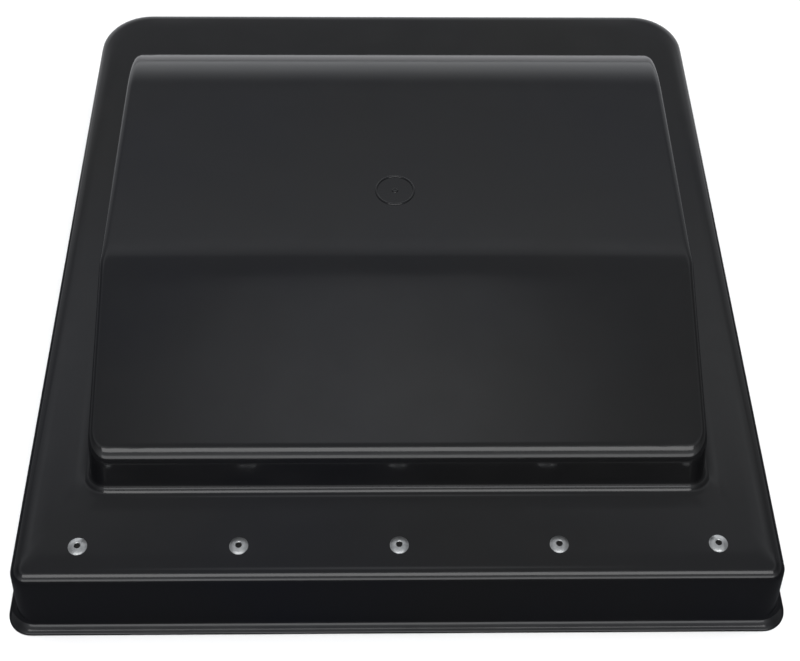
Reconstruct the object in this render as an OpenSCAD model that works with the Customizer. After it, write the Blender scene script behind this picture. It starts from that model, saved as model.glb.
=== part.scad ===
// Lid of a 14-inch caravan roof vent: a moulded wedge-shaped cover on a riveted strip hinge.
// Origin: centre of the lip's footprint, on the plane the lip stands on. +X runs along the
// hinge, +Y points from the hinge edge to the free edge, +Z is up.

/* [Flange and skirt] */
// Width of the flat flange, along the hinge
flange_w = 380; // [372:1:400]
// Depth of the flat flange, from hinge edge to free edge
flange_d = 414; // [406:1:430]
// Height of the flange's top above the lip
flange_h = 46; // [36:1:60]
// How far the lip stands out past the flange edge
lip_reach = 9; // [6:0.5:12]
// Height of the out-turned lip
lip_h = 9; // [6:0.5:12]
// Wall thickness of the moulding
wall = 2.5; // [2:0.1:3]
// Plan radius of the two corners at the hinge edge
front_corner_r = 8; // [6:0.5:12]
// Plan radius of the two corners at the free edge
back_corner_r = 30; // [20:1:40]
// Radius of the edge where flange turns into skirt
edge_r = 6; // [3:0.5:8]

/* [Dome] */
// Width of the dome at its foot
dome_w = 320; // [310:1:324]
// Distance from the hinge edge to the dome's foot
dome_front = 48; // [45:1:60]
// Height of the front wall's top above the flange
brow_h = 25; // [20:1:34]
// Height of the flat top above the flange
top_h = 54; // [48:1:64]
// Distance from the hinge edge to the crease
crease_at = 155; // [130:1:180]
// Distance from the hinge edge to the end of the flat top
top_end = 286; // [270:1:292]
// Radius of the rolled-over back
roll_r = 70; // [60:1:74]
// Slope of the front wall from upright, degrees
front_draft = 16; // [8:1:22]
// Slope of the side walls from upright, degrees
side_draft = 5; // [2:1:8]
// Plan radius of the dome's front corners
dome_front_corner_r = 10; // [6:1:16]
// Plan radius of the dome's back corners
dome_back_corner_r = 34; // [14:1:40]

/* [Hinge] */
// Radius of the hinge pin
pin_r = 1.5; // [1.2:0.1:1.7]
// Running clearance around the pin
pin_clearance = 0.05; // [0.02:0.01:0.1]
// Outside radius of the knuckles
knuckle_r = 3; // [2.7:0.1:3.2]
// Thickness of the leaves
leaf_t = 1.2; // [0.8:0.1:1.4]
// Length of the hinge along X
hinge_l = 336; // [330:2:344]
// Number of knuckles, an odd number
knuckles = 11; // [7:2:15]
// Distance from the hinge edge to the pin's axis
pin_at = 41; // [38:0.5:41.5]
// How far the base leaf hangs below the pin's axis
base_leaf_h = 28; // [24:1:32]
// Radius of the base leaf's screw holes
base_hole_r = 2.2; // [1.8:0.1:2.6]

/* [Rivets] */
// Number of rivets
rivets = 5; // [3:1:7]
// Distance between rivets
rivet_pitch = 79; // [70:1:80]
// Distance from the hinge edge to the rivet line
rivet_at = 17.5; // [16:0.5:20]
// Radius of the rivet's shank
rivet_r = 2.4; // [2:0.1:2.5]
// Radius of the rivet's head
rivet_head_r = 4.75; // [4:0.05:5]

/* [Operator track] */
// Length of the track
track_l = 130; // [110:5:140]
// Outside width of the channel
track_w = 24; // [20:1:28]
// Outside depth of the channel
track_h = 10; // [9:0.5:12]

/* [Seal] */
// Width of the foam strip
seal_w = 12; // [9:1:12]
// Thickness of the foam strip
seal_t = 6; // [4:0.5:7]

/* [Hidden] */
RIVETS = [for (i = [1:rivets]) str("rivet_", i)];
WASHERS = [for (i = [1:rivets]) str("rivet_washer_", i)];
MANDRELS = [for (i = [1:rivets]) str("rivet_mandrel_", i)];
SCREWS = [for (i = [1:4]) str("track_screw_", i)];
$fn = 48;

eps = 0.01;
slice_t = 0.4;                                  // thickness of the slices that hulls join
lip_edge_h = 2.6;                               // upright part of the lip
skirt_draft = lip_reach * 0.35;                 // how far the skirt leans out before the lip
hinge_edge_y = -flange_d / 2;
free_edge_y = flange_d / 2;
under_z = flange_h - wall;                      // underside of the flange
// dome
foot_y = hinge_edge_y + dome_front;
crease_y = hinge_edge_y + crease_at;
roll_y = hinge_edge_y + top_end;
roll_z = flange_h + top_h - roll_r;
top_z = flange_h + top_h;
brow_round_r = 6;
brow_y = foot_y + brow_h * tan(front_draft);
slope_angle = atan((top_h - brow_h) / (crease_y - brow_y));
// hinge
pin_y = hinge_edge_y + pin_at;
pin_z = under_z - knuckle_r - 0.3;
knuckle_pitch = hinge_l / knuckles;
knuckle_gap = 0.4;
leaf_gap = 0.8;                                 // room between a leaf and the other's knuckles
lid_leaf_front_y = hinge_edge_y + 8;
base_leaf_y = pin_y + knuckle_r - leaf_t;       // front face of the base leaf
base_hole_z = pin_z - 17;
base_hole_x = [-135, -45, 45, 135];
// rivets
rivet_y = hinge_edge_y + rivet_at;
rivet_head_h = 1.5;
washer_r = 5.5;
washer_t = 1;
washer_z = under_z - leaf_t - washer_t;         // underside of the washer
bulb_r = 3.6;
bulb_h = 3;
mandrel_r = 1.3;
mandrel_head_r = 2.1;
fit_gap = 0.05;
// track
boss_r = 4.5;
boss_l = 9;
boss_x = 18;
boss_y = [-45, 65];
track_mid_y = 10;
track_top_z = top_z - wall - boss_l;
track_t = 1.2;
track_foot_w = 2 * boss_x + 10;
track_mouth = 13;
screw_r = 1.45;
screw_head_r = 3.4;
screw_head_h = 2.2;
screw_l = 7;
// seal
seal_side_x = 182;                              // outer face of the side strips
seal_front_y = pin_y + 8;
seal_back_y = 190;                              // outer face of the back strip

function rivet_x(i) = (i - (rivets + 1) / 2) * rivet_pitch;
function arc(cx, cy, r, from, to, steps) =
    [for (i = [0:steps]) let (a = from + (to - from) * i / steps) [cx + r * cos(a), cy + r * sin(a)]];

// Plan outline of the lid, grown outwards by grow.
module plan(grow) {
    half_w = flange_w / 2 + grow;
    front = hinge_edge_y - grow;
    back = free_edge_y + grow;
    fr = max(front_corner_r + grow, 2);
    br = back_corner_r + grow;
    polygon(concat(arc(-half_w + fr, front + fr, fr, 180, 270, 6), arc(half_w - fr, front + fr, fr, 270, 360, 6),
                   arc(half_w - br, back - br, br, 0, 90, 10), arc(-half_w + br, back - br, br, 90, 180, 10)));
}

// A slice of the plan outline whose top is at height z, for hulls.
module plan_slice(grow, z) {
    translate([0, 0, z - slice_t]) linear_extrude(slice_t) plan(grow);
}

// Solid inside the flange and skirt, moved in by inset from the outer surface.
module skirt_body(inset) {
    top = flange_h - inset;
    flare = (lip_reach - skirt_draft) / (lip_h - lip_edge_h);
    hull() {
        plan_slice(-inset - edge_r * 0.9, top);
        plan_slice(-inset - edge_r * 0.3, top - edge_r * 0.3);
        plan_slice(-inset, top - edge_r);
        plan_slice(skirt_draft - inset, 1.5);
    }
    hull() {
        plan_slice(skirt_draft - inset - 2 * flare, lip_h + 2);
        plan_slice(lip_reach - inset, lip_edge_h);
        plan_slice(lip_reach - inset, inset > 0 ? -1 : slice_t);
    }
}

// Side view of the dome, as [Y, Z] points from the front foot round to the back foot.
function dome_profile(inset, base_z) =
    let (wall_in = inset / cos(front_draft),
         front_base = foot_y + wall_in - (flange_h - base_z) * tan(front_draft),
         round_r = brow_round_r - inset,
         round_y = brow_y + inset + (brow_round_r - inset) * 0.86,
         round_z = flange_h + brow_h - brow_round_r + 0.6,
         r = roll_r - inset)
    concat([[front_base, base_z]],
           arc(round_y, round_z, round_r, 180 - front_draft, 90 + slope_angle, 5),
           [[crease_y, top_z - inset]],
           arc(roll_y, roll_z, r, 90, asin((flange_h - roll_z) / r), 16),
           [[roll_y + sqrt(r * r - pow(flange_h - roll_z, 2)), base_z]]);

// Plan of the dome at height rise above the flange, moved in by inset.
module dome_plan(inset, rise) {
    half_w = dome_w / 2 - inset - rise * tan(side_draft);
    fr = dome_front_corner_r - inset;
    br = dome_back_corner_r - inset;
    front = foot_y + 0.4 + inset + rise * tan(front_draft);
    back = roll_y + roll_r - inset - rise * tan(side_draft);
    polygon(concat(arc(-half_w + fr, front + fr, fr, 180, 270, 4), arc(half_w - fr, front + fr, fr, 270, 360, 4),
                   arc(half_w - br, back - br, br, 0, 90, 8), arc(-half_w + br, back - br, br, 90, 180, 8)));
}

// Solid inside the dome, moved in by inset from the outer surface.
module dome_body(inset, base_z) {
    over = top_h + 10;
    under = base_z - flange_h - 2;
    intersection() {
        translate([-dome_w, 0, 0]) rotate([90, 0, 90]) linear_extrude(2 * dome_w)
            polygon(dome_profile(inset, base_z));
        hull() {
            translate([0, 0, flange_h + over]) linear_extrude(slice_t) dome_plan(inset, over);
            translate([0, 0, flange_h + under]) linear_extrude(slice_t) dome_plan(inset, under);
        }
    }
}

// The gate mark: a raised ring with a small nub in its middle.
module gate_mark() {
    sink = 0.5;
    translate([0, -3, top_z - sink]) {
        difference() {
            cylinder(r = 10.2, h = sink + 0.25);
            translate([0, 0, -1]) cylinder(r = 9.6, h = 3);
        }
        cylinder(r = 1.4, h = sink + 0.5);
    }
}

// Moulded lid: flange, skirt, lip, dome, screw bosses and rivet holes in one piece.
module lid_shell() {
    color("dimgray") {
        difference() {
            union() {
                skirt_body(0);
                dome_body(0, flange_h - 1);
            }
            skirt_body(wall);
            dome_body(wall, under_z - 1);
            for (i = [1:rivets])
                translate([rivet_x(i), rivet_y, under_z - 1]) cylinder(r = rivet_r + fit_gap, h = wall + 3);
        }
        for (x = [-boss_x, boss_x], y = boss_y)
            translate([x, y, track_top_z]) difference() {
                cylinder(r = boss_r, h = boss_l + 1);
                translate([0, 0, -1]) cylinder(r = screw_r + fit_gap, h = screw_l + 1.5);
            }
        gate_mark();
    }
}

// Knuckles of one leaf; first is 0 for the lid's leaf and 1 for the base leaf.
module knuckle_row(first) {
    for (k = [first:2:knuckles - 1])
        translate([-hinge_l / 2 + k * knuckle_pitch + knuckle_gap / 2, pin_y, pin_z]) rotate([0, 90, 0])
            cylinder(r = knuckle_r, h = knuckle_pitch - knuckle_gap);
}

// The bore through every knuckle.
module knuckle_bore() {
    translate([-hinge_l / 2 - 5, pin_y, pin_z]) rotate([0, 90, 0])
        cylinder(r = pin_r + pin_clearance, h = hinge_l + 10);
}

// Clearance slots in a leaf for the other leaf's knuckles.
module knuckle_slots(first) {
    for (k = [first:2:knuckles - 1])
        translate([-hinge_l / 2 + k * knuckle_pitch - knuckle_gap / 2, pin_y, pin_z]) rotate([0, 90, 0])
            cylinder(r = knuckle_r + leaf_gap, h = knuckle_pitch + knuckle_gap);
}

// Leaf held under the flange by the rivets.
module lid_hinge_leaf() {
    color("silver") difference() {
        union() {
            difference() {
                translate([-hinge_l / 2, lid_leaf_front_y, under_z - leaf_t])
                    cube([hinge_l, pin_y - lid_leaf_front_y, leaf_t]);
                knuckle_slots(1);
            }
            knuckle_row(0);
        }
        knuckle_bore();
        for (i = [1:rivets])
            translate([rivet_x(i), rivet_y, under_z - leaf_t - 1]) cylinder(r = rivet_r + fit_gap, h = leaf_t + 2);
    }
}

// Leaf that hangs down and screws to the vent's collar.
module base_hinge_leaf() {
    color("silver") difference() {
        union() {
            difference() {
                translate([-hinge_l / 2, base_leaf_y, pin_z - base_leaf_h]) cube([hinge_l, leaf_t, base_leaf_h]);
                knuckle_slots(0);
            }
            knuckle_row(1);
        }
        knuckle_bore();
        for (x = base_hole_x)
            translate([x, base_leaf_y - 1, base_hole_z]) rotate([-90, 0, 0])
                cylinder(r = base_hole_r, h = leaf_t + 2);
    }
}

// Pin through both leaves, headed over at each end.
module hinge_pin() {
    head_l = 1;
    color("gainsboro") translate([0, pin_y, pin_z]) rotate([0, 90, 0]) {
        cylinder(r = pin_r, h = hinge_l + 1, center = true);
        for (side = [-1, 1])
            translate([0, 0, side * (hinge_l / 2 + 0.5 + head_l / 2)])
                cylinder(r = pin_r + 0.7, h = head_l, center = true);
    }
}

// Domed rivet with its set bulb below the washer.
module rivet(i) {
    cap_r = (pow(rivet_head_r, 2) + pow(rivet_head_h, 2)) / (2 * rivet_head_h);
    color("lightgray") translate([rivet_x(i), rivet_y, 0]) difference() {
        union() {
            intersection() {
                translate([0, 0, flange_h + rivet_head_h - cap_r]) sphere(r = cap_r, $fn = 96);
                translate([0, 0, flange_h]) cylinder(r = rivet_head_r, h = rivet_head_h);
            }
            translate([0, 0, washer_z]) cylinder(r = rivet_r, h = flange_h - washer_z + eps);
            translate([0, 0, washer_z - bulb_h]) cylinder(r = bulb_r, h = bulb_h);
        }
        translate([0, 0, washer_z - bulb_h - 1]) cylinder(r = mandrel_r + fit_gap, h = 20);
    }
}

// Flat washer between the hinge leaf and the rivet's bulb.
module rivet_washer(i) {
    color("silver") translate([rivet_x(i), rivet_y, washer_z]) difference() {
        cylinder(r = washer_r, h = washer_t);
        translate([0, 0, -1]) cylinder(r = rivet_r + fit_gap, h = washer_t + 2);
    }
}

// Mandrel stub left in the rivet, snapped off below the top of the head.
module rivet_mandrel(i) {
    head_h = 1.4;
    bottom = washer_z - bulb_h - head_h;
    color("gray") translate([rivet_x(i), rivet_y, bottom]) {
        cylinder(r = mandrel_head_r, h = head_h);
        cylinder(r = mandrel_r, h = flange_h + 0.2 - bottom);
    }
}

// Flanged channel for the operator arm's slide, open at both ends and along its underside.
module operator_track() {
    half = track_w / 2;
    foot = track_foot_w / 2;
    low = -track_h;
    mouth = track_mouth / 2;
    color("silver") difference() {
        translate([0, track_mid_y + track_l / 2, track_top_z]) rotate([90, 0, 0]) linear_extrude(track_l)
            polygon([[-foot, 0], [foot, 0], [foot, -track_t], [half, -track_t], [half, low], [mouth, low],
                     [mouth, low + track_t], [half - track_t, low + track_t], [half - track_t, -track_t],
                     [-half + track_t, -track_t], [-half + track_t, low + track_t], [-mouth, low + track_t],
                     [-mouth, low], [-half, low], [-half, -track_t], [-foot, -track_t]]);
        for (x = [-boss_x, boss_x], y = boss_y)
            translate([x, y, track_top_z - track_t - 1]) cylinder(r = screw_r + 0.35, h = track_t + 2);
    }
}

// Pan-head self-tapping screw with a cross recess, head down.
module track_screw(i) {
    x = i % 2 == 1 ? -boss_x : boss_x;
    y = boss_y[i > 2 ? 1 : 0];
    head_z = track_top_z - track_t - screw_head_h;
    color("gainsboro") translate([x, y, head_z]) difference() {
        union() {
            cylinder(r = screw_head_r, h = screw_head_h);
            cylinder(r = screw_r, h = screw_head_h + track_t + screw_l);
        }
        for (turn = [0, 90])
            rotate([0, 0, turn]) translate([-2, -0.4, -1]) cube([4, 0.8, 2]);
    }
}

// One straight run of foam strip under the flange.
module seal_run(x, y, length_x, length_y) {
    color([0.2, 0.2, 0.2]) translate([x, y, under_z - seal_t]) cube([length_x, length_y, seal_t]);
}
module seal_left() { seal_run(-seal_side_x, seal_front_y, seal_w, seal_back_y - seal_front_y); }
module seal_right() { seal_run(seal_side_x - seal_w, seal_front_y, seal_w, seal_back_y - seal_front_y); }
module seal_back() {
    inner_x = seal_side_x - seal_w;
    seal_run(-inner_x, seal_back_y - seal_w, 2 * inner_x, seal_w);
}

lid_shell();
lid_hinge_leaf();
base_hinge_leaf();
hinge_pin();
operator_track();
seal_left();
seal_right();
seal_back();
for (i = [1:rivets]) {
    rivet(i);
    rivet_washer(i);
    rivet_mandrel(i);
}
for (i = [1:4])
    track_screw(i);
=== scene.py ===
"""Lid of a 14-inch caravan roof vent: one smoke-black moulding on a riveted strip hinge."""

import math
import random
import bpy
import bmesh
import numpy as np
from mathutils import Matrix, Vector


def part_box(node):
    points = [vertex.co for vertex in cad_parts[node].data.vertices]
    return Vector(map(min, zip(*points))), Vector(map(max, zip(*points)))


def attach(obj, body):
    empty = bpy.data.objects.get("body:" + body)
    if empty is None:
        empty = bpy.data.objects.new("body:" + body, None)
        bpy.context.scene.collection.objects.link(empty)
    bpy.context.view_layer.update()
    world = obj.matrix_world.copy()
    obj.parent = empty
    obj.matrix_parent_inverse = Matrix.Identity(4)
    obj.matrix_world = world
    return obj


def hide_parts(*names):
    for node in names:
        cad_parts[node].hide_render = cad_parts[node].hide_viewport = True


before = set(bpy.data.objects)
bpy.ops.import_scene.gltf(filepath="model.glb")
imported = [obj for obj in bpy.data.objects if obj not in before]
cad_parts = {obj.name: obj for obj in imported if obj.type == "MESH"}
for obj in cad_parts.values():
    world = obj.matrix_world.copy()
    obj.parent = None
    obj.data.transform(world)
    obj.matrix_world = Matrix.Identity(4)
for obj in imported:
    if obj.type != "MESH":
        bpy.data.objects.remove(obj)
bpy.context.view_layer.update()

# ---------------------------------------------------------------- lid shell
# The lid is a single injection moulding in smoke-black plastic, 2.5 mm thick. The flat flange,
# the skirt with its out-turned lip and the wedge dome flow into each other through fillets.
shell_low, shell_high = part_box("lid_shell")
wall = 0.0025
lip_reach = 0.009
lip_edge_h = 0.0012
flare_top = 0.0072
skirt_lean = 0.0048
flange_half = shell_high.x - lip_reach
hinge_edge = shell_low.y + lip_reach
free_edge = shell_high.y - lip_reach
flange_z = 0.046
front_corner = 0.008
back_corner = 0.030
lip_corner_growth = 0.55
flange_round = 0.0068

dome_half = 0.160
dome_foot = hinge_edge + 0.048
brow_z = flange_z + 0.025
dome_top = flange_z + 0.054
crease_y = hinge_edge + 0.155
roll_y = hinge_edge + 0.286
roll_r = 0.070
roll_z = dome_top - roll_r
front_slope = math.tan(math.radians(16))
side_slope = math.tan(math.radians(5))
brow_y = dome_foot + (brow_z - flange_z) * front_slope
brow_blend = 0.014
brow_blend_from = brow_y + 0.012
rise = (dome_top - brow_z) / (crease_y - brow_y)
dome_front_corner = 0.010
dome_back_corner = 0.034
dome_taper = 0.0038
dome_edge_round = 0.0055
dome_side_round = 0.0034
crease_round = 0.0022
foot_round = 0.0042
dome_back = roll_y + roll_r


def round_and(a, b, r):
    """Distance to where both solids are, with their shared edge rounded to r."""
    both = np.hypot(np.maximum(r + a, 0), np.maximum(r + b, 0))
    return np.minimum(-r, np.maximum(a, b)) + both


def round_or(a, b, r):
    """Distance to where either solid is, with the corner between them filled to radius r."""
    both = np.hypot(np.maximum(r - a, 0), np.maximum(r - b, 0))
    return np.maximum(r, np.minimum(a, b)) - both


def plan_distance(x, y, half, front, back, r_front, r_back):
    """Distance in plan to a rounded rectangle whose front and back corners differ."""
    at_front = y < (front + back) / 2
    r = np.where(at_front, r_front, r_back)
    dx = np.abs(x) - (half - r)
    dy = np.where(at_front, front + r - y, y - back + r)
    outside = np.hypot(np.maximum(dx, 0), np.maximum(dy, 0))
    return outside + np.minimum(np.maximum(dx, dy), 0) - r


def skirt_out(z):
    """How far the skirt stands out past the flange's edge at height z."""
    lean = skirt_lean * np.clip((flange_z - z) / flange_z, 0, 1)
    t = np.clip((flare_top - z) / (flare_top - lip_edge_h), 0, 1)
    return lean + (lip_reach - skirt_lean) * t * t


def front_taper(y):
    """How much the dome's side wall moves in at y, from nothing at the crease."""
    return dome_taper * np.clip((crease_y - y) / (crease_y - dome_foot), 0, 1)


def dome_distance(x, y, z):
    """Distance to the dome: drafted walls, sloped front, flat top and rolled-over back."""
    up = z - flange_z
    half = dome_half - up * side_slope - front_taper(y)
    walls = plan_distance(x, y, half, dome_foot + up * front_slope,
                          dome_back - up * side_slope, dome_front_corner, dome_back_corner)
    slope = (z - brow_z - (y - brow_y) * rise) / math.hypot(1, rise)
    top = np.where(y < roll_y, z - dome_top, np.hypot(y - roll_y, z - roll_z) - roll_r)
    at_brow = np.clip((brow_blend_from - y) / brow_blend, 0, 1)
    edge_round = dome_side_round + (dome_edge_round - dome_side_round) * at_brow
    return round_and(walls, round_and(slope, top, crease_round), edge_round)


def lid_distance(p):
    """Distance from points p to the lid's outer surface, negative inside."""
    x, y, z = p[:, 0], p[:, 1], p[:, 2]
    out = skirt_out(z)
    side = plan_distance(x, y, flange_half + out, hinge_edge - out, free_edge + out,
                         front_corner + out * lip_corner_growth, back_corner + out)
    tray = round_and(side, z - flange_z, flange_round)
    return round_or(tray, dome_distance(x, y, z), foot_round)


settle_passes = 14
longest_move = 0.003


def settle(p, depth, keep_z):
    """Moves points p onto the surface depth below the outer one; keep_z holds their heights."""
    p = p.copy()
    step = 1e-6
    for _ in range(settle_passes):
        f = lid_distance(p) + depth
        slope = np.stack([lid_distance(p + step * axis) - lid_distance(p - step * axis)
                          for axis in np.eye(3)], axis=1) / (2 * step)
        if keep_z:
            slope[:, 2] = 0
        move = slope * (f / np.maximum((slope ** 2).sum(1), 1e-3))[:, None]
        length = np.linalg.norm(move, axis=1)
        p -= move * np.minimum(1, longest_move / np.maximum(length, 1e-9))[:, None]
    return p


# The skins start as a grid laid over the roof with rings round it; the corners share
# corner_steps places each, and the straight runs between them are evenly spaced.
corner_steps = 8
straight_x = 0.117
straight_front, straight_back = -0.138, 0.098
inner_half = 0.1455
inner_front, inner_back = -0.1475, 0.121
tray_end_x, tray_end_front, tray_end_back = 0.152, -0.192, 0.168
top_step, roll_step = 0.006, 0.0035


def even(a, b, step):
    """Evenly spaced places from a to b, about step apart."""
    return list(np.linspace(a, b, max(2, round((b - a) / step) + 1)))


def with_ends(first, middle, last):
    """A run of places with corner_steps more at each end."""
    lead = list(np.linspace(first, middle[0], corner_steps + 1))[:-1]
    tail = list(np.linspace(middle[-1], last, corner_steps + 1))[1:]
    return lead + middle + tail


crease_rows = [crease_y + d for d in (-0.004, -0.0022, -0.0011, 0, 0.0011, 0.0022, 0.004)]
straight_rows = even(straight_front, crease_rows[0], top_step)[:-1] + crease_rows
straight_rows += even(crease_rows[-1], roll_y, top_step)[1:] + even(roll_y, straight_back, roll_step)[1:]
cols = with_ends(-inner_half, even(-straight_x, straight_x, top_step), inner_half)
rows = with_ends(inner_front, straight_rows, inner_back)
nx, ny = len(cols) - 1, len(rows) - 1
loop = [(i, 0) for i in range(nx)] + [(nx, j) for j in range(ny)]
loop += [(i, ny) for i in range(nx, 0, -1)] + [(0, j) for j in range(ny, 0, -1)]


def corner_run(m, straight, edge, r):
    """Places along and across for step m round a corner: two straight steps, then the arc."""
    if m <= 2:
        return straight + (edge - r - straight) * m / 2, 0.0
    a = math.radians(45) * (m - 2) / (corner_steps - 2)
    return edge - r + r * math.sin(a), r * (1 - math.cos(a))


def outline_point(i, j, half, front, back, r_front, r_back, end_x, end_front, end_back):
    """The outline's point for place (i, j) on the edge of the grid."""
    at_front = j <= corner_steps and (j == 0 or i in (0, nx))
    r = r_front if at_front else r_back
    if j in (0, ny):
        side = min(i, nx - i)
        if side >= corner_steps:
            x = cols[i] * end_x / straight_x
            return x, front if j == 0 else back
        along, across = corner_run(corner_steps - side, end_x, half, r)
        x = along if i > nx / 2 else -along
        return x, front + across if j == 0 else back - across
    edge = -1 if i == 0 else 1
    end = min(j, ny - j)
    if end >= corner_steps:
        t = (rows[j] - straight_front) / (straight_back - straight_front)
        return edge * half, end_front + t * (end_back - end_front)
    if j < ny / 2:
        along, across = corner_run(corner_steps - j, -end_front, -front, r)
        return edge * (half - across), -along
    along, across = corner_run(corner_steps - (ny - j), end_back, back, r)
    return edge * (half - across), along


def dome_section(i, j, z):
    """The dome's outline at height z, as a point for place (i, j)."""
    up = z - flange_z
    roll = roll_y + math.sqrt(max(roll_r ** 2 - (z - roll_z) ** 2, 0))
    x, y = outline_point(i, j, dome_half - up * side_slope, dome_foot + up * front_slope,
                         dome_back - up * side_slope, dome_front_corner, dome_back_corner,
                         straight_x, straight_front, straight_back)
    return x * (1 - front_taper(y) / dome_half), min(y, roll)


def roof_z(y):
    """Height of the dome's roof line at y."""
    if y > roll_y:
        return roll_z + math.sqrt(max(roll_r ** 2 - (y - roll_y) ** 2, 0))
    return min(dome_top, brow_z + (y - brow_y) * rise)


roll_foot_z = flange_z + 0.024


def roof_edge(i, j):
    """Where the dome's wall meets its roof, for place (i, j)."""
    z = flange_z
    for _ in range(30):
        x, y = dome_section(i, j, z)
        z = 0.5 * z + 0.5 * roof_z(y)
    if j == ny:
        z = max(z, roll_foot_z)
    x, y = dome_section(i, j, z)
    return x, y, z


def tray_ring(z, out):
    """A ring round the flange or skirt at height z, standing out past the flange's edge."""
    return np.array([(*outline_point(i, j, flange_half + out, hinge_edge - out, free_edge + out,
                                     front_corner + out * lip_corner_growth, back_corner + out,
                                     tray_end_x, tray_end_front, tray_end_back), z)
                     for i, j in loop])


inner_ring = np.array([(cols[i], rows[j], roof_z(rows[j])) for i, j in loop])
roof_ring = np.array([roof_edge(i, j) for i, j in loop])
foot_ring = np.array([(*dome_section(i, j, flange_z), flange_z) for i, j in loop])
edge_ring = tray_ring(flange_z, 0)
bend_ring = tray_ring(flare_top, skirt_lean * 0.8)


def between(a, b, near_a, near_b, middle):
    """Rings from a to b: at set distances from each end, with even ones in the middle."""
    gap = np.linalg.norm(b - a, axis=1)[:, None]
    way = (b - a) / gap
    short = np.minimum(1, gap * 0.45 / max(near_a[-1:] + near_b[-1:] + [1e-6]))
    first = [a + way * d * short for d in near_a]
    last = [b - way * d * short for d in near_b]
    start = first[-1] if first else a
    end = last[-1] if last else b
    fill = [start + (end - start) * k / (middle + 1) for k in range(1, middle + 1)]
    return first + fill + last[::-1]


tight = [0.0004, 0.0012, 0.0022, 0.0034, 0.0048]
wide = [0.0005, 0.0015, 0.0027, 0.0041, 0.0058, 0.0078]
lip_step, lip_foot = 0.0009, 0.0005
outer_rings = [inner_ring]
outer_rings += between(inner_ring, roof_ring, [], tight, 1) + [roof_ring]
outer_rings += between(roof_ring, foot_ring, tight, tight, 5) + [foot_ring]
outer_rings += between(foot_ring, edge_ring, tight, wide, 4) + [edge_ring]
outer_rings += between(edge_ring, bend_ring, wide, [], 4)
lip_levels = even(lip_edge_h * 0.5, flare_top, lip_step)[::-1] + [lip_foot]
outer_rings += [tray_ring(z, float(skirt_out(np.array(z)))) for z in lip_levels]
free_rings = len(outer_rings) - len(lip_levels)

core = [(i, j) for j in range(1, ny) for i in range(1, nx)]
core_points = np.array([(cols[i], rows[j], roof_z(rows[j])) for i, j in core])


def skin(depth):
    """One side of the moulding: its inner grid, then its rings, all settled on the surface."""
    lifted = np.vstack([core_points] + outer_rings[:free_rings])
    shift = np.array([0, 0, depth])
    free = settle(lifted - shift, depth, False)
    lip = settle(np.vstack(outer_rings[free_rings:]), depth, True)
    return np.vstack([free, lip])


def mesh_object(name, points, faces, smooth=True):
    """A new object from points and faces, with its normals made to agree."""
    mesh = bpy.data.meshes.new(name)
    mesh.from_pydata([tuple(p) for p in points], [], faces)
    made = bpy.data.objects.new(name, mesh)
    bpy.context.scene.collection.objects.link(made)
    shape = bmesh.new()
    shape.from_mesh(mesh)
    bmesh.ops.recalc_face_normals(shape, faces=shape.faces)
    shape.to_mesh(mesh)
    shape.free()
    for face in mesh.polygons:
        face.use_smooth = smooth
    return made


def skin_faces(base):
    """Faces of one skin whose points start at base."""
    place = {spot: base + n for n, spot in enumerate(core)}
    ring_start = base + len(core)
    count = len(loop)
    place.update({spot: ring_start + n for n, spot in enumerate(loop)})
    faces = [(place[i, j], place[i + 1, j], place[i + 1, j + 1], place[i, j + 1])
             for i in range(nx) for j in range(ny)]
    for ring in range(len(outer_rings) - 1):
        here = ring_start + ring * count
        for n in range(count):
            m = (n + 1) % count
            faces.append((here + m, here + n, here + count + n, here + count + m))
    return faces


outside = skin(0.0)
inside = skin(wall)
count = len(loop)
last_out = outside[-count:]
last_in = inside[-count:]
lip_ease = 0.16
lip_out = last_out + (last_in - last_out) * lip_ease
lip_in = last_out + (last_in - last_out) * (1 - lip_ease)
lip_out[:, 2] = 0
lip_in[:, 2] = 0
points = np.vstack([outside, inside, lip_out, lip_in])
faces = skin_faces(0) + [f[::-1] for f in skin_faces(len(outside))]
hem = [len(outside) - count, 2 * len(outside), 2 * len(outside) + count, 2 * len(outside) - count]
for a, b in zip(hem, hem[1:]):
    faces += [(a + (n + 1) % count, a + n, b + n, b + (n + 1) % count) for n in range(count)]
shell = mesh_object("moulded_lid", points, faces)


def lathe(profile, turns=48):
    """Points and faces of a closed solid turned about Z from (radius, height) pairs."""
    points, faces, rings = [], [], []
    for r, z in profile:
        start = len(points)
        if r == 0:
            points.append((0, 0, z))
            rings.append([start] * turns)
            continue
        for k in range(turns):
            a = 2 * math.pi * k / turns
            points.append((r * math.cos(a), r * math.sin(a), z))
        rings.append(list(range(start, start + turns)))
    for low, high in zip(rings, rings[1:]):
        for k in range(turns):
            m = (k + 1) % turns
            face = []
            for n in (low[k], low[m], high[m], high[k]):
                if n not in face:
                    face.append(n)
            faces.append(tuple(face))
    return points, faces


def turned(name, profile, at, turns=48):
    """A new object lathed from a profile and set down at a place."""
    points, faces = lathe(profile, turns)
    made = mesh_object(name, points, faces)
    made.data.transform(Matrix.Translation(at))
    return made


def join(objects):
    """Joins the others into the first object."""
    bpy.ops.object.select_all(action="DESELECT")
    for o in objects:
        o.select_set(True)
    bpy.context.view_layer.objects.active = objects[0]
    bpy.ops.object.join()
    return objects[0]


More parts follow.
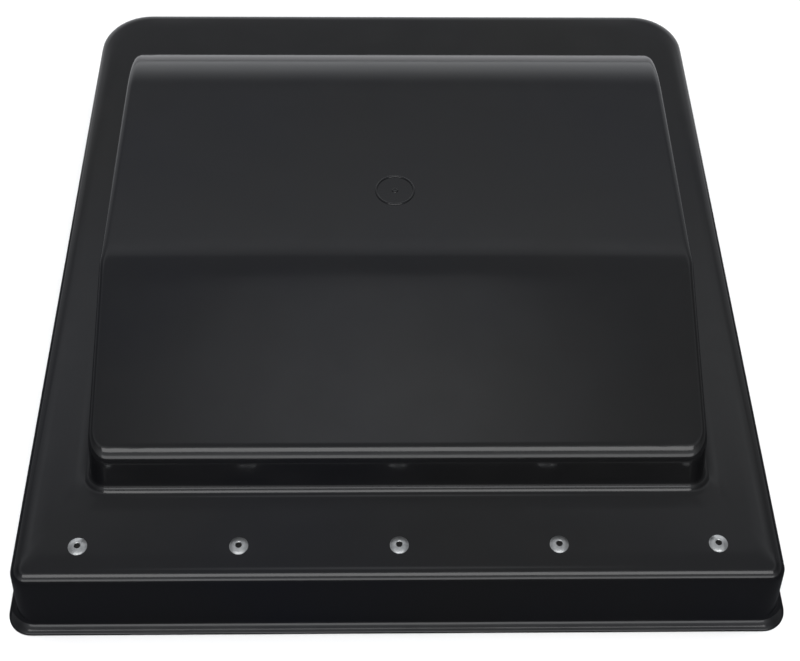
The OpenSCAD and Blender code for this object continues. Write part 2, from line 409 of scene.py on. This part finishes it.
# Where the plastic was fed in: a fine raised ring with a trimmed nub in its middle.
gate_at = Vector((-0.0008, -0.003, dome_top))
ring_r, ring_half, ring_h = 0.0102, 0.00065, 0.00060
gate_ring = [(ring_r - ring_half, -0.0004)]
gate_ring += [(ring_r - ring_half * math.cos(a), ring_h * math.sin(a))
              for a in np.linspace(0, math.pi, 7)]
gate_ring += [(ring_r + ring_half, -0.0004), (ring_r - ring_half, -0.0004)]
gate_nub = [(0, -0.0004), (0.0019, -0.0004), (0.0018, 0.0001), (0.0013, 0.0004), (0.0009, 0.0005),
            (0.0007, 0.0003), (0, 0.0002)]
extras = [turned("gate_ring", gate_ring, gate_at, 96), turned("gate_nub", gate_nub, gate_at, 32)]

# Screw bosses under the roof, blended into it at their roots.
boss_r, hole_r, boss_tip = 0.0045, 0.0015, 0.0885
roof_under = dome_top - wall
boss = [(hole_r, boss_tip + 0.0078), (hole_r, boss_tip + 0.0004), (hole_r + 0.0004, boss_tip),
        (boss_r - 0.0005, boss_tip), (boss_r, boss_tip + 0.0005), (boss_r, roof_under - 0.002)]
boss += [(boss_r + 0.002 * (1 - math.cos(a)), roof_under - 0.002 + 0.002 * math.sin(a))
         for a in (0.4, 0.8, 1.2, 1.57)]
boss += [(boss_r + 0.002, roof_under + 0.0006), (0, roof_under + 0.0006), (0, boss_tip + 0.0078),
         (hole_r, boss_tip + 0.0078)]
for name in ("track_screw_1", "track_screw_2", "track_screw_3", "track_screw_4"):
    low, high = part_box(name)
    extras.append(turned("boss", boss, Vector(((low.x + high.x) / 2, (low.y + high.y) / 2, 0))))
shell = join([shell] + extras)


class Recipe:
    """A node material under construction; add() makes a node and wires its inputs."""

    def __init__(self, name):
        self.material = bpy.data.materials.new(name)
        self.material.use_nodes = True
        self.nodes = self.material.node_tree.nodes
        self.links = self.material.node_tree.links
        self.shader = self.nodes["Principled BSDF"]
        self.place = self.add("ShaderNodeTexCoord").outputs["Object"]

    def add(self, kind, settings=None, **inputs):
        node = self.nodes.new(kind)
        for key, value in (settings or {}).items():
            setattr(node, key, value)
        for key, value in inputs.items():
            self.wire(node.inputs[key.replace("_", " ")], value)
        return node

    def wire(self, socket, value):
        if isinstance(value, bpy.types.NodeSocket):
            self.links.new(value, socket)
        else:
            socket.default_value = value

    def set(self, **inputs):
        for key, value in inputs.items():
            self.wire(self.shader.inputs[key.replace("_", " ")], value)

    def noise(self, scale, detail=4.0, rough=0.5, stretch=None):
        place = self.place
        if stretch:
            place = self.add("ShaderNodeMapping", Vector=place, Scale=stretch).outputs["Vector"]
        node = self.add("ShaderNodeTexNoise", Vector=place, Scale=scale, Detail=detail, Roughness=rough)
        return node.outputs["Fac"]

    def span(self, value, low, high, start=0.0, end=1.0):
        node = self.add("ShaderNodeMapRange", Value=value, From_Min=start, From_Max=end,
                        To_Min=low, To_Max=high)
        return node.outputs["Result"]

    def mix(self, amount, a, b):
        node = self.add("ShaderNodeMix", {"data_type": "RGBA"})
        self.wire(node.inputs[0], amount)
        self.wire(node.inputs[6], a)
        self.wire(node.inputs[7], b)
        return node.outputs[2]

    def math(self, operation, a, b):
        node = self.add("ShaderNodeMath", {"operation": operation})
        self.wire(node.inputs[0], a)
        self.wire(node.inputs[1], b)
        return node.outputs[0]

    def bump(self, height, strength, distance, normal=None):
        node = self.add("ShaderNodeBump", Height=height, Strength=strength, Distance=distance)
        if normal:
            self.links.new(normal, node.inputs["Normal"])
        return node.outputs["Normal"]


def smoke_plastic():
    """Deep smoke-black plastic: a little colour drift, flow waviness, dust and hairlines."""
    r = Recipe("smoke_plastic")
    drift = r.noise(5.0, 3.0, 0.5)
    cloud = r.noise(38.0, 6.0, 0.6)
    speck = r.add("ShaderNodeTexVoronoi", Vector=r.place, Scale=420.0).outputs["Distance"]
    dust = r.span(speck, 1.0, 0.0, 0.02, 0.07)
    tone = r.mix(r.span(drift, 0.0, 1.0, 0.3, 0.7),
                 (0.0022, 0.0025, 0.0042, 1), (0.0035, 0.0034, 0.0032, 1))
    tone = r.mix(r.math("MULTIPLY", dust, 0.10), tone, (0.16, 0.16, 0.155, 1))
    hair = r.noise(60.0, 2.0, 0.5, (1.0, 22.0, 6.0))
    hair_across = r.noise(52.0, 2.0, 0.5, (18.0, 1.0, 6.0))
    hairline = r.math("MAXIMUM", r.span(hair, 0, 1, 0.70, 0.74), r.span(hair_across, 0, 1, 0.71, 0.75))
    film = r.span(cloud, 0.085, 0.17, 0.3, 0.7)
    rough = r.math("ADD", film, r.math("MULTIPLY", hairline, 0.05))
    waves = r.bump(r.noise(11.0, 2.0, 0.45), 0.55, 0.0009)
    skin_grain = r.bump(r.noise(900.0, 3.0, 0.6), 0.05, 0.0002, waves)
    r.set(Base_Color=tone, Roughness=rough, IOR=1.49, Normal=skin_grain)
    r.set(Specular_IOR_Level=0.5, Coat_Weight=0.0)
    return r.material


shell.data.materials.clear()
shell.data.materials.append(smoke_plastic())
for face in shell.data.polygons:
    face.material_index = 0
    face.use_smooth = True
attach(shell, "lid")
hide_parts("lid_shell")

# ---------------------------------------------------------------- rivets
# Five 4.8 mm aluminium blind rivets hold the hinge leaf. Each has a pressed dome head with a
# rolled-in mouth, and a bulb upset against the washer when the mandrel was pulled.
head_r, head_h, mouth_r, shank_r = 0.00475, 0.0015, 0.00150, 0.0024
cap_r = (head_r ** 2 + head_h ** 2) / (2 * head_h)


def rivet_metal():
    """Bright drawn aluminium with set marks and random blotches of faint oxide and darker grime."""
    r = Recipe("rivet_aluminium")
    blotch = r.noise(420.0, 4.0, 0.6)
    tone = r.mix(r.span(blotch, 0, 1, 0.3, 0.75), (0.68, 0.69, 0.69, 1), (0.46, 0.47, 0.48, 1))
    marks = r.noise(1500.0, 3.0, 0.55, (1.0, 1.0, 3.0))
    r.set(Base_Color=tone, Metallic=1.0, Roughness=r.span(marks, 0.24, 0.44))
    r.set(Normal=r.bump(marks, 0.25, 0.00012))
    return r.material


rivet_finish = rivet_metal()


def rivet_profile(bottom, top):
    """Half section of a set rivet: bulb, shank, rim, domed head and the mouth in it."""
    dome = []
    for step in range(15):
        radius = mouth_r + 0.0004 + (head_r - 0.0002 - mouth_r - 0.0004) * (1 - step / 14)
        dome.append((radius, top - cap_r + math.sqrt(cap_r ** 2 - radius ** 2)))
    base = top - head_h
    bulb = [(0.00135, bottom + 0.0002), (0.0020, bottom), (0.0031, bottom + 0.0003)]
    bulb += [(0.0033 + 0.0003 * math.sin(a), bottom + 0.0015 - 0.0011 * math.cos(a))
             for a in np.linspace(0.3, 2.8, 8)]
    bulb += [(shank_r, bottom + 0.0030)]
    mouth = [(mouth_r + 0.0001, dome[-1][1] - 0.0001), (mouth_r, dome[-1][1] - 0.0005),
             (mouth_r - 0.0001, top - 0.0014), (0.00135, top - 0.0020)]
    rim = [(shank_r, base), (head_r - 0.0002, base), (head_r, base + 0.00012)]
    return bulb + rim + dome + mouth + [bulb[0]]


for n in range(1, 6):
    node = f"rivet_{n}"
    low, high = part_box(node)
    at = Vector(((low.x + high.x) / 2, (low.y + high.y) / 2, 0))
    rivet = turned(f"blind_{node}", rivet_profile(low.z, high.z), at, 64)
    rivet.data.materials.append(rivet_finish)
    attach(rivet, "lid")
    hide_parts(node)


# ---------------------------------------------------------------- plain metal parts
# The leaves and washers are pressed from galvanised strip, the pin and mandrels are drawn
# steel, the track is a mill-finish extrusion and its screws are zinc plated.
def ease_edges(node, width):
    """Takes the sharpness off a part's edges, as tumbling or plating does."""
    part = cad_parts[node]
    bevel = part.modifiers.new("eased_edges", "BEVEL")
    bevel.width = width
    bevel.segments = 2
    bevel.limit_method = "ANGLE"
    bevel.angle_limit = math.radians(35)
    return part


def finish_node(node, material, width):
    """Eases a part's edges and gives it its material."""
    part = ease_edges(node, width)
    part.data.materials.clear()
    part.data.materials.append(material)


def galvanised():
    """Zinc-coated strip: soft spangle, rolling lines and a few dull patches."""
    r = Recipe("hinge_metal")
    cell = r.add("ShaderNodeTexVoronoi", Vector=r.place, Scale=130.0)
    shade = r.add("ShaderNodeSeparateColor", Color=cell.outputs["Color"]).outputs[0]
    patch = r.noise(22.0, 5.0, 0.6)
    tone = r.mix(shade, (0.50, 0.51, 0.53, 1), (0.64, 0.65, 0.66, 1))
    tone = r.mix(r.span(patch, 0, 0.5, 0.5, 0.8), tone, (0.40, 0.40, 0.39, 1))
    rolling = r.noise(300.0, 2.0, 0.5, (0.05, 3.0, 3.0))
    rough = r.math("ADD", r.span(shade, 0.28, 0.40), r.math("MULTIPLY", rolling, 0.12))
    r.set(Base_Color=tone, Metallic=1.0, Roughness=rough, Normal=r.bump(rolling, 0.12, 0.0001))
    return r.material


def drawn_steel(name, bright, dark):
    """Steel wire with fine lines along its length and a slightly browned skin."""
    r = Recipe(name)
    lines = r.noise(700.0, 3.0, 0.5, (0.04, 1.0, 1.0))
    stain = r.noise(90.0, 5.0, 0.6)
    tone = r.mix(r.span(stain, 0, 1, 0.35, 0.75), bright, dark)
    r.set(Base_Color=tone, Metallic=1.0, Roughness=r.span(lines, 0.26, 0.46))
    r.set(Normal=r.bump(lines, 0.2, 0.0001))
    return r.material


def extruded():
    """Mill-finish aluminium with die lines along the track."""
    r = Recipe("track_metal")
    die = r.noise(500.0, 3.0, 0.55, (2.0, 0.02, 2.0))
    bloom = r.noise(30.0, 5.0, 0.6)
    tone = r.mix(r.span(bloom, 0, 1, 0.3, 0.7), (0.66, 0.67, 0.68, 1), (0.78, 0.78, 0.78, 1))
    r.set(Base_Color=tone, Metallic=1.0, Roughness=r.span(die, 0.25, 0.48))
    r.set(Normal=r.bump(die, 0.25, 0.0001))
    return r.material


def zinc_plate():
    """Passivated zinc with a faint straw and blue cast."""
    r = Recipe("screw_zinc")
    cast = r.noise(260.0, 3.0, 0.5)
    tone = r.mix(r.span(cast, 0, 1, 0.35, 0.65), (0.62, 0.60, 0.50, 1), (0.54, 0.58, 0.64, 1))
    r.set(Base_Color=tone, Metallic=1.0, Roughness=r.span(cast, 0.22, 0.36))
    r.set(Normal=r.bump(cast, 0.1, 0.0001))
    return r.material


strip_finish = galvanised()
for node in ("lid_hinge_leaf", "base_hinge_leaf"):
    finish_node(node, strip_finish, 0.0002)
finish_node("hinge_pin", drawn_steel("pin_steel", (0.56, 0.55, 0.54, 1), (0.34, 0.31, 0.28, 1)), 0.0003)
mandrel_finish = drawn_steel("mandrel_steel", (0.045, 0.044, 0.044, 1), (0.02, 0.018, 0.017, 1))
for n in range(1, 6):
    finish_node(f"rivet_washer_{n}", strip_finish, 0.00015)
    finish_node(f"rivet_mandrel_{n}", mandrel_finish, 0.0002)
finish_node("operator_track", extruded(), 0.0002)
screw_finish = zinc_plate()
for n in range(1, 5):
    finish_node(f"track_screw_{n}", screw_finish, 0.00025)


# ---------------------------------------------------------------- weather seal
# Closed-cell foam strip, stuck under the flange on three sides. It is cut square from a roll,
# bulges a little between its faces and has fine open pores on the cut sides.
def foam():
    """Charcoal foam with open pores and a dull, uneven skin."""
    r = Recipe("foam")
    pores = r.add("ShaderNodeTexVoronoi", Vector=r.place, Scale=1300.0).outputs["Distance"]
    coarse = r.noise(160.0, 5.0, 0.65)
    tone = r.mix(r.span(coarse, 0, 1, 0.3, 0.7), (0.012, 0.012, 0.013, 1), (0.034, 0.034, 0.035, 1))
    r.set(Base_Color=tone, Roughness=r.span(coarse, 0.78, 0.95))
    r.set(Normal=r.bump(r.math("ADD", pores, coarse), 0.6, 0.0003))
    return r.material


foam_finish = foam()
end_ease, run_from, run_step = 0.0006, 0.004, 0.005


def foam_strip(name, node, along):
    """A strip with soft edges, its free faces slightly uneven along its length."""
    low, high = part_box(node)
    size = high - low
    length = size[along]
    across = 0 if along == 1 else 1
    draw = random.Random(node)
    phases = [draw.uniform(0, 6.28) for _ in range(4)]
    corner = 0.0009
    section = []
    for cx, cz, start in ((1, 1, 0), (-1, 1, 90), (-1, -1, 180), (1, -1, 270)):
        for step in range(4):
            a = math.radians(start + step * 30)
            section.append((cx * (size[across] / 2 - corner) + corner * math.cos(a),
                            cz * (size.z / 2 - corner) + corner * math.sin(a)))
    stations = [0.0, end_ease]
    stations += list(np.linspace(run_from, length - run_from, int(length / run_step)))
    stations += [length - end_ease, length]
    points, faces = [], []
    for s in stations:
        inset = 0.0005 if s in (0.0, length) else 0.0
        wave = 0.00014 * (math.sin(s * 95 + phases[0]) + math.sin(s * 231 + phases[1]))
        for u, v in section:
            pull = 1 - (inset + 0.0002 + wave) / (size[across] / 2)
            place = [0.0, 0.0, 0.0]
            place[along] = low[along] + s
            place[across] = (low[across] + high[across]) / 2 + u * pull
            place[2] = (low.z + high.z) / 2 + v - (0.00003 if v > 0 else 0.0)
            if v < 0:
                place[2] += 0.0001 + inset + 0.00008 * math.sin(s * 140 + phases[2])
            points.append(tuple(place))
    ring = len(section)
    for k in range(len(stations) - 1):
        for n in range(ring):
            m = (n + 1) % ring
            faces.append((k * ring + n, k * ring + m, (k + 1) * ring + m, (k + 1) * ring + n))
    faces.append(tuple(range(ring)))
    faces.append(tuple(range(len(points) - ring, len(points))))
    strip = mesh_object(name, points, faces)
    strip.data.materials.append(foam_finish)
    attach(strip, "lid")
    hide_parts(node)
    return strip


foam_strip("foam_left", "seal_left", 1)
foam_strip("foam_right", "seal_right", 1)
foam_strip("foam_back", "seal_back", 0)

# ---------------------------------------------------------------- studio
# A pale floor that runs out to the horizon, a sky with brighter and darker belts and flags at
# both sides, and soft lamps behind the camera that draw the lines along the rounded edges.
floor_mesh = bpy.data.meshes.new("floor")
reach = 6.0
floor_corners = [(-reach, -reach, 0), (reach, -reach, 0), (reach, reach, 0), (-reach, reach, 0)]
floor_mesh.from_pydata(floor_corners, [], [(0, 1, 2, 3)])
floor = bpy.data.objects.new("floor", floor_mesh)
bpy.context.scene.collection.objects.link(floor)
paper = Recipe("paper")
tone = paper.mix(paper.noise(6.0, 3.0, 0.5), (0.88, 0.88, 0.88, 1), (0.91, 0.91, 0.91, 1))
# Painted reflection: glossy rays see the floor painted near black in front of the part and grey behind
# it, so the lid's shiny faces reflect a dark floor that the camera never sees.
seen_in_gloss = paper.add("ShaderNodeLightPath").outputs["Is Glossy Ray"]
way_back = paper.add("ShaderNodeSeparateXYZ", Vector=paper.place).outputs["Y"]
painted_reflection_tone = paper.mix(paper.span(way_back, 0.0, 1.0, 0.10, 0.32),
                  (0.028, 0.029, 0.032, 1), (0.5, 0.5, 0.51, 1))
paper.set(Base_Color=paper.mix(seen_in_gloss, tone, painted_reflection_tone), Roughness=0.9)
floor.data.materials.append(paper.material)

world = bpy.data.worlds.new("sky")
bpy.context.scene.world = world
world.use_nodes = True
sky = world.node_tree
where = sky.nodes.new("ShaderNodeTexCoord")
parts = sky.nodes.new("ShaderNodeSeparateXYZ")
sky.links.new(where.outputs["Generated"], parts.inputs[0])
ramp = sky.nodes.new("ShaderNodeValToRGB")
sky.links.new(parts.outputs["Z"], ramp.inputs["Fac"])
sky_levels = [(0.0, 1.1), (0.30, 0.95), (0.60, 0.42), (0.66, 0.40), (0.72, 0.55), (0.75, 0.60),
              (0.775, 0.76), (0.80, 0.74), (0.88, 0.38), (0.981, 0.38), (0.993, 0.70), (1.0, 0.92)]
while len(ramp.color_ramp.elements) < len(sky_levels):
    ramp.color_ramp.elements.new(0.5)
for stop, (height, level) in zip(ramp.color_ramp.elements, sky_levels):
    stop.position = height
    stop.color = (level * 0.95, level * 0.97, level, 1)
sky.links.new(ramp.outputs["Color"], sky.nodes["Background"].inputs["Color"])
sideways = sky.nodes.new("ShaderNodeMath")
sideways.operation = "ABSOLUTE"
sky.links.new(parts.outputs["X"], sideways.inputs[0])
flags = sky.nodes.new("ShaderNodeMapRange")
for socket, value in (("From Min", 0.50), ("From Max", 0.85), ("To Min", 1.0), ("To Max", 0.30)):
    flags.inputs[socket].default_value = value
sky.links.new(sideways.outputs[0], flags.inputs["Value"])
sky.links.new(flags.outputs["Result"], sky.nodes["Background"].inputs["Strength"])


def soft_lamp(name, place, target, width, height, power):
    """A rectangular soft box at a place, turned to face the target."""
    lamp = bpy.data.lights.new(name, "AREA")
    lamp.shape = "RECTANGLE"
    lamp.size = width
    lamp.size_y = height
    lamp.energy = power
    holder = bpy.data.objects.new(name, lamp)
    bpy.context.scene.collection.objects.link(holder)
    holder.location = place
    holder.rotation_euler = (Vector(target) - Vector(place)).to_track_quat("-Z", "Y").to_euler()
    return holder


soft_lamp("front_lamp", (0.0, -1.7, 1.42), (0, 0, 0.05), 2.4, 0.75, 18)
soft_lamp("horizon_lamp", (0.0, -2.4, 0.36), (0, 0, 0.05), 3.0, 0.5, 8)
floor_lamp = soft_lamp("floor_lamp", (0.0, 0.2, 3.0), (0, 0, 0), 2.5, 2.5, 84)
floor_lamp.visible_glossy = False

# The camera: a long lens above the hinge side, turned and rolled a little.
eye = Vector((-0.0112, -0.4963, 0.6372))
tilt = math.radians(53.43)
turn = math.radians(1.72)
roll = math.radians(1.27)
ahead = Vector((math.sin(turn) * math.cos(tilt), math.cos(turn) * math.cos(tilt), -math.sin(tilt)))
right = Vector((math.cos(turn), -math.sin(turn), 0))
above = right.cross(ahead)
right, above = (math.cos(roll) * right + math.sin(roll) * above,
                -math.sin(roll) * right + math.cos(roll) * above)
lens = bpy.data.cameras.new("camera")
lens.sensor_width = 36
lens.lens = 60.04
lens.clip_start = 0.01
camera = bpy.data.objects.new("camera", lens)
bpy.context.scene.collection.objects.link(camera)
camera.matrix_world = Matrix.Translation(eye) @ Matrix((right, above, -ahead)).transposed().to_4x4()
bpy.context.scene.camera = camera
bpy.context.scene.view_settings.view_transform = "Standard"
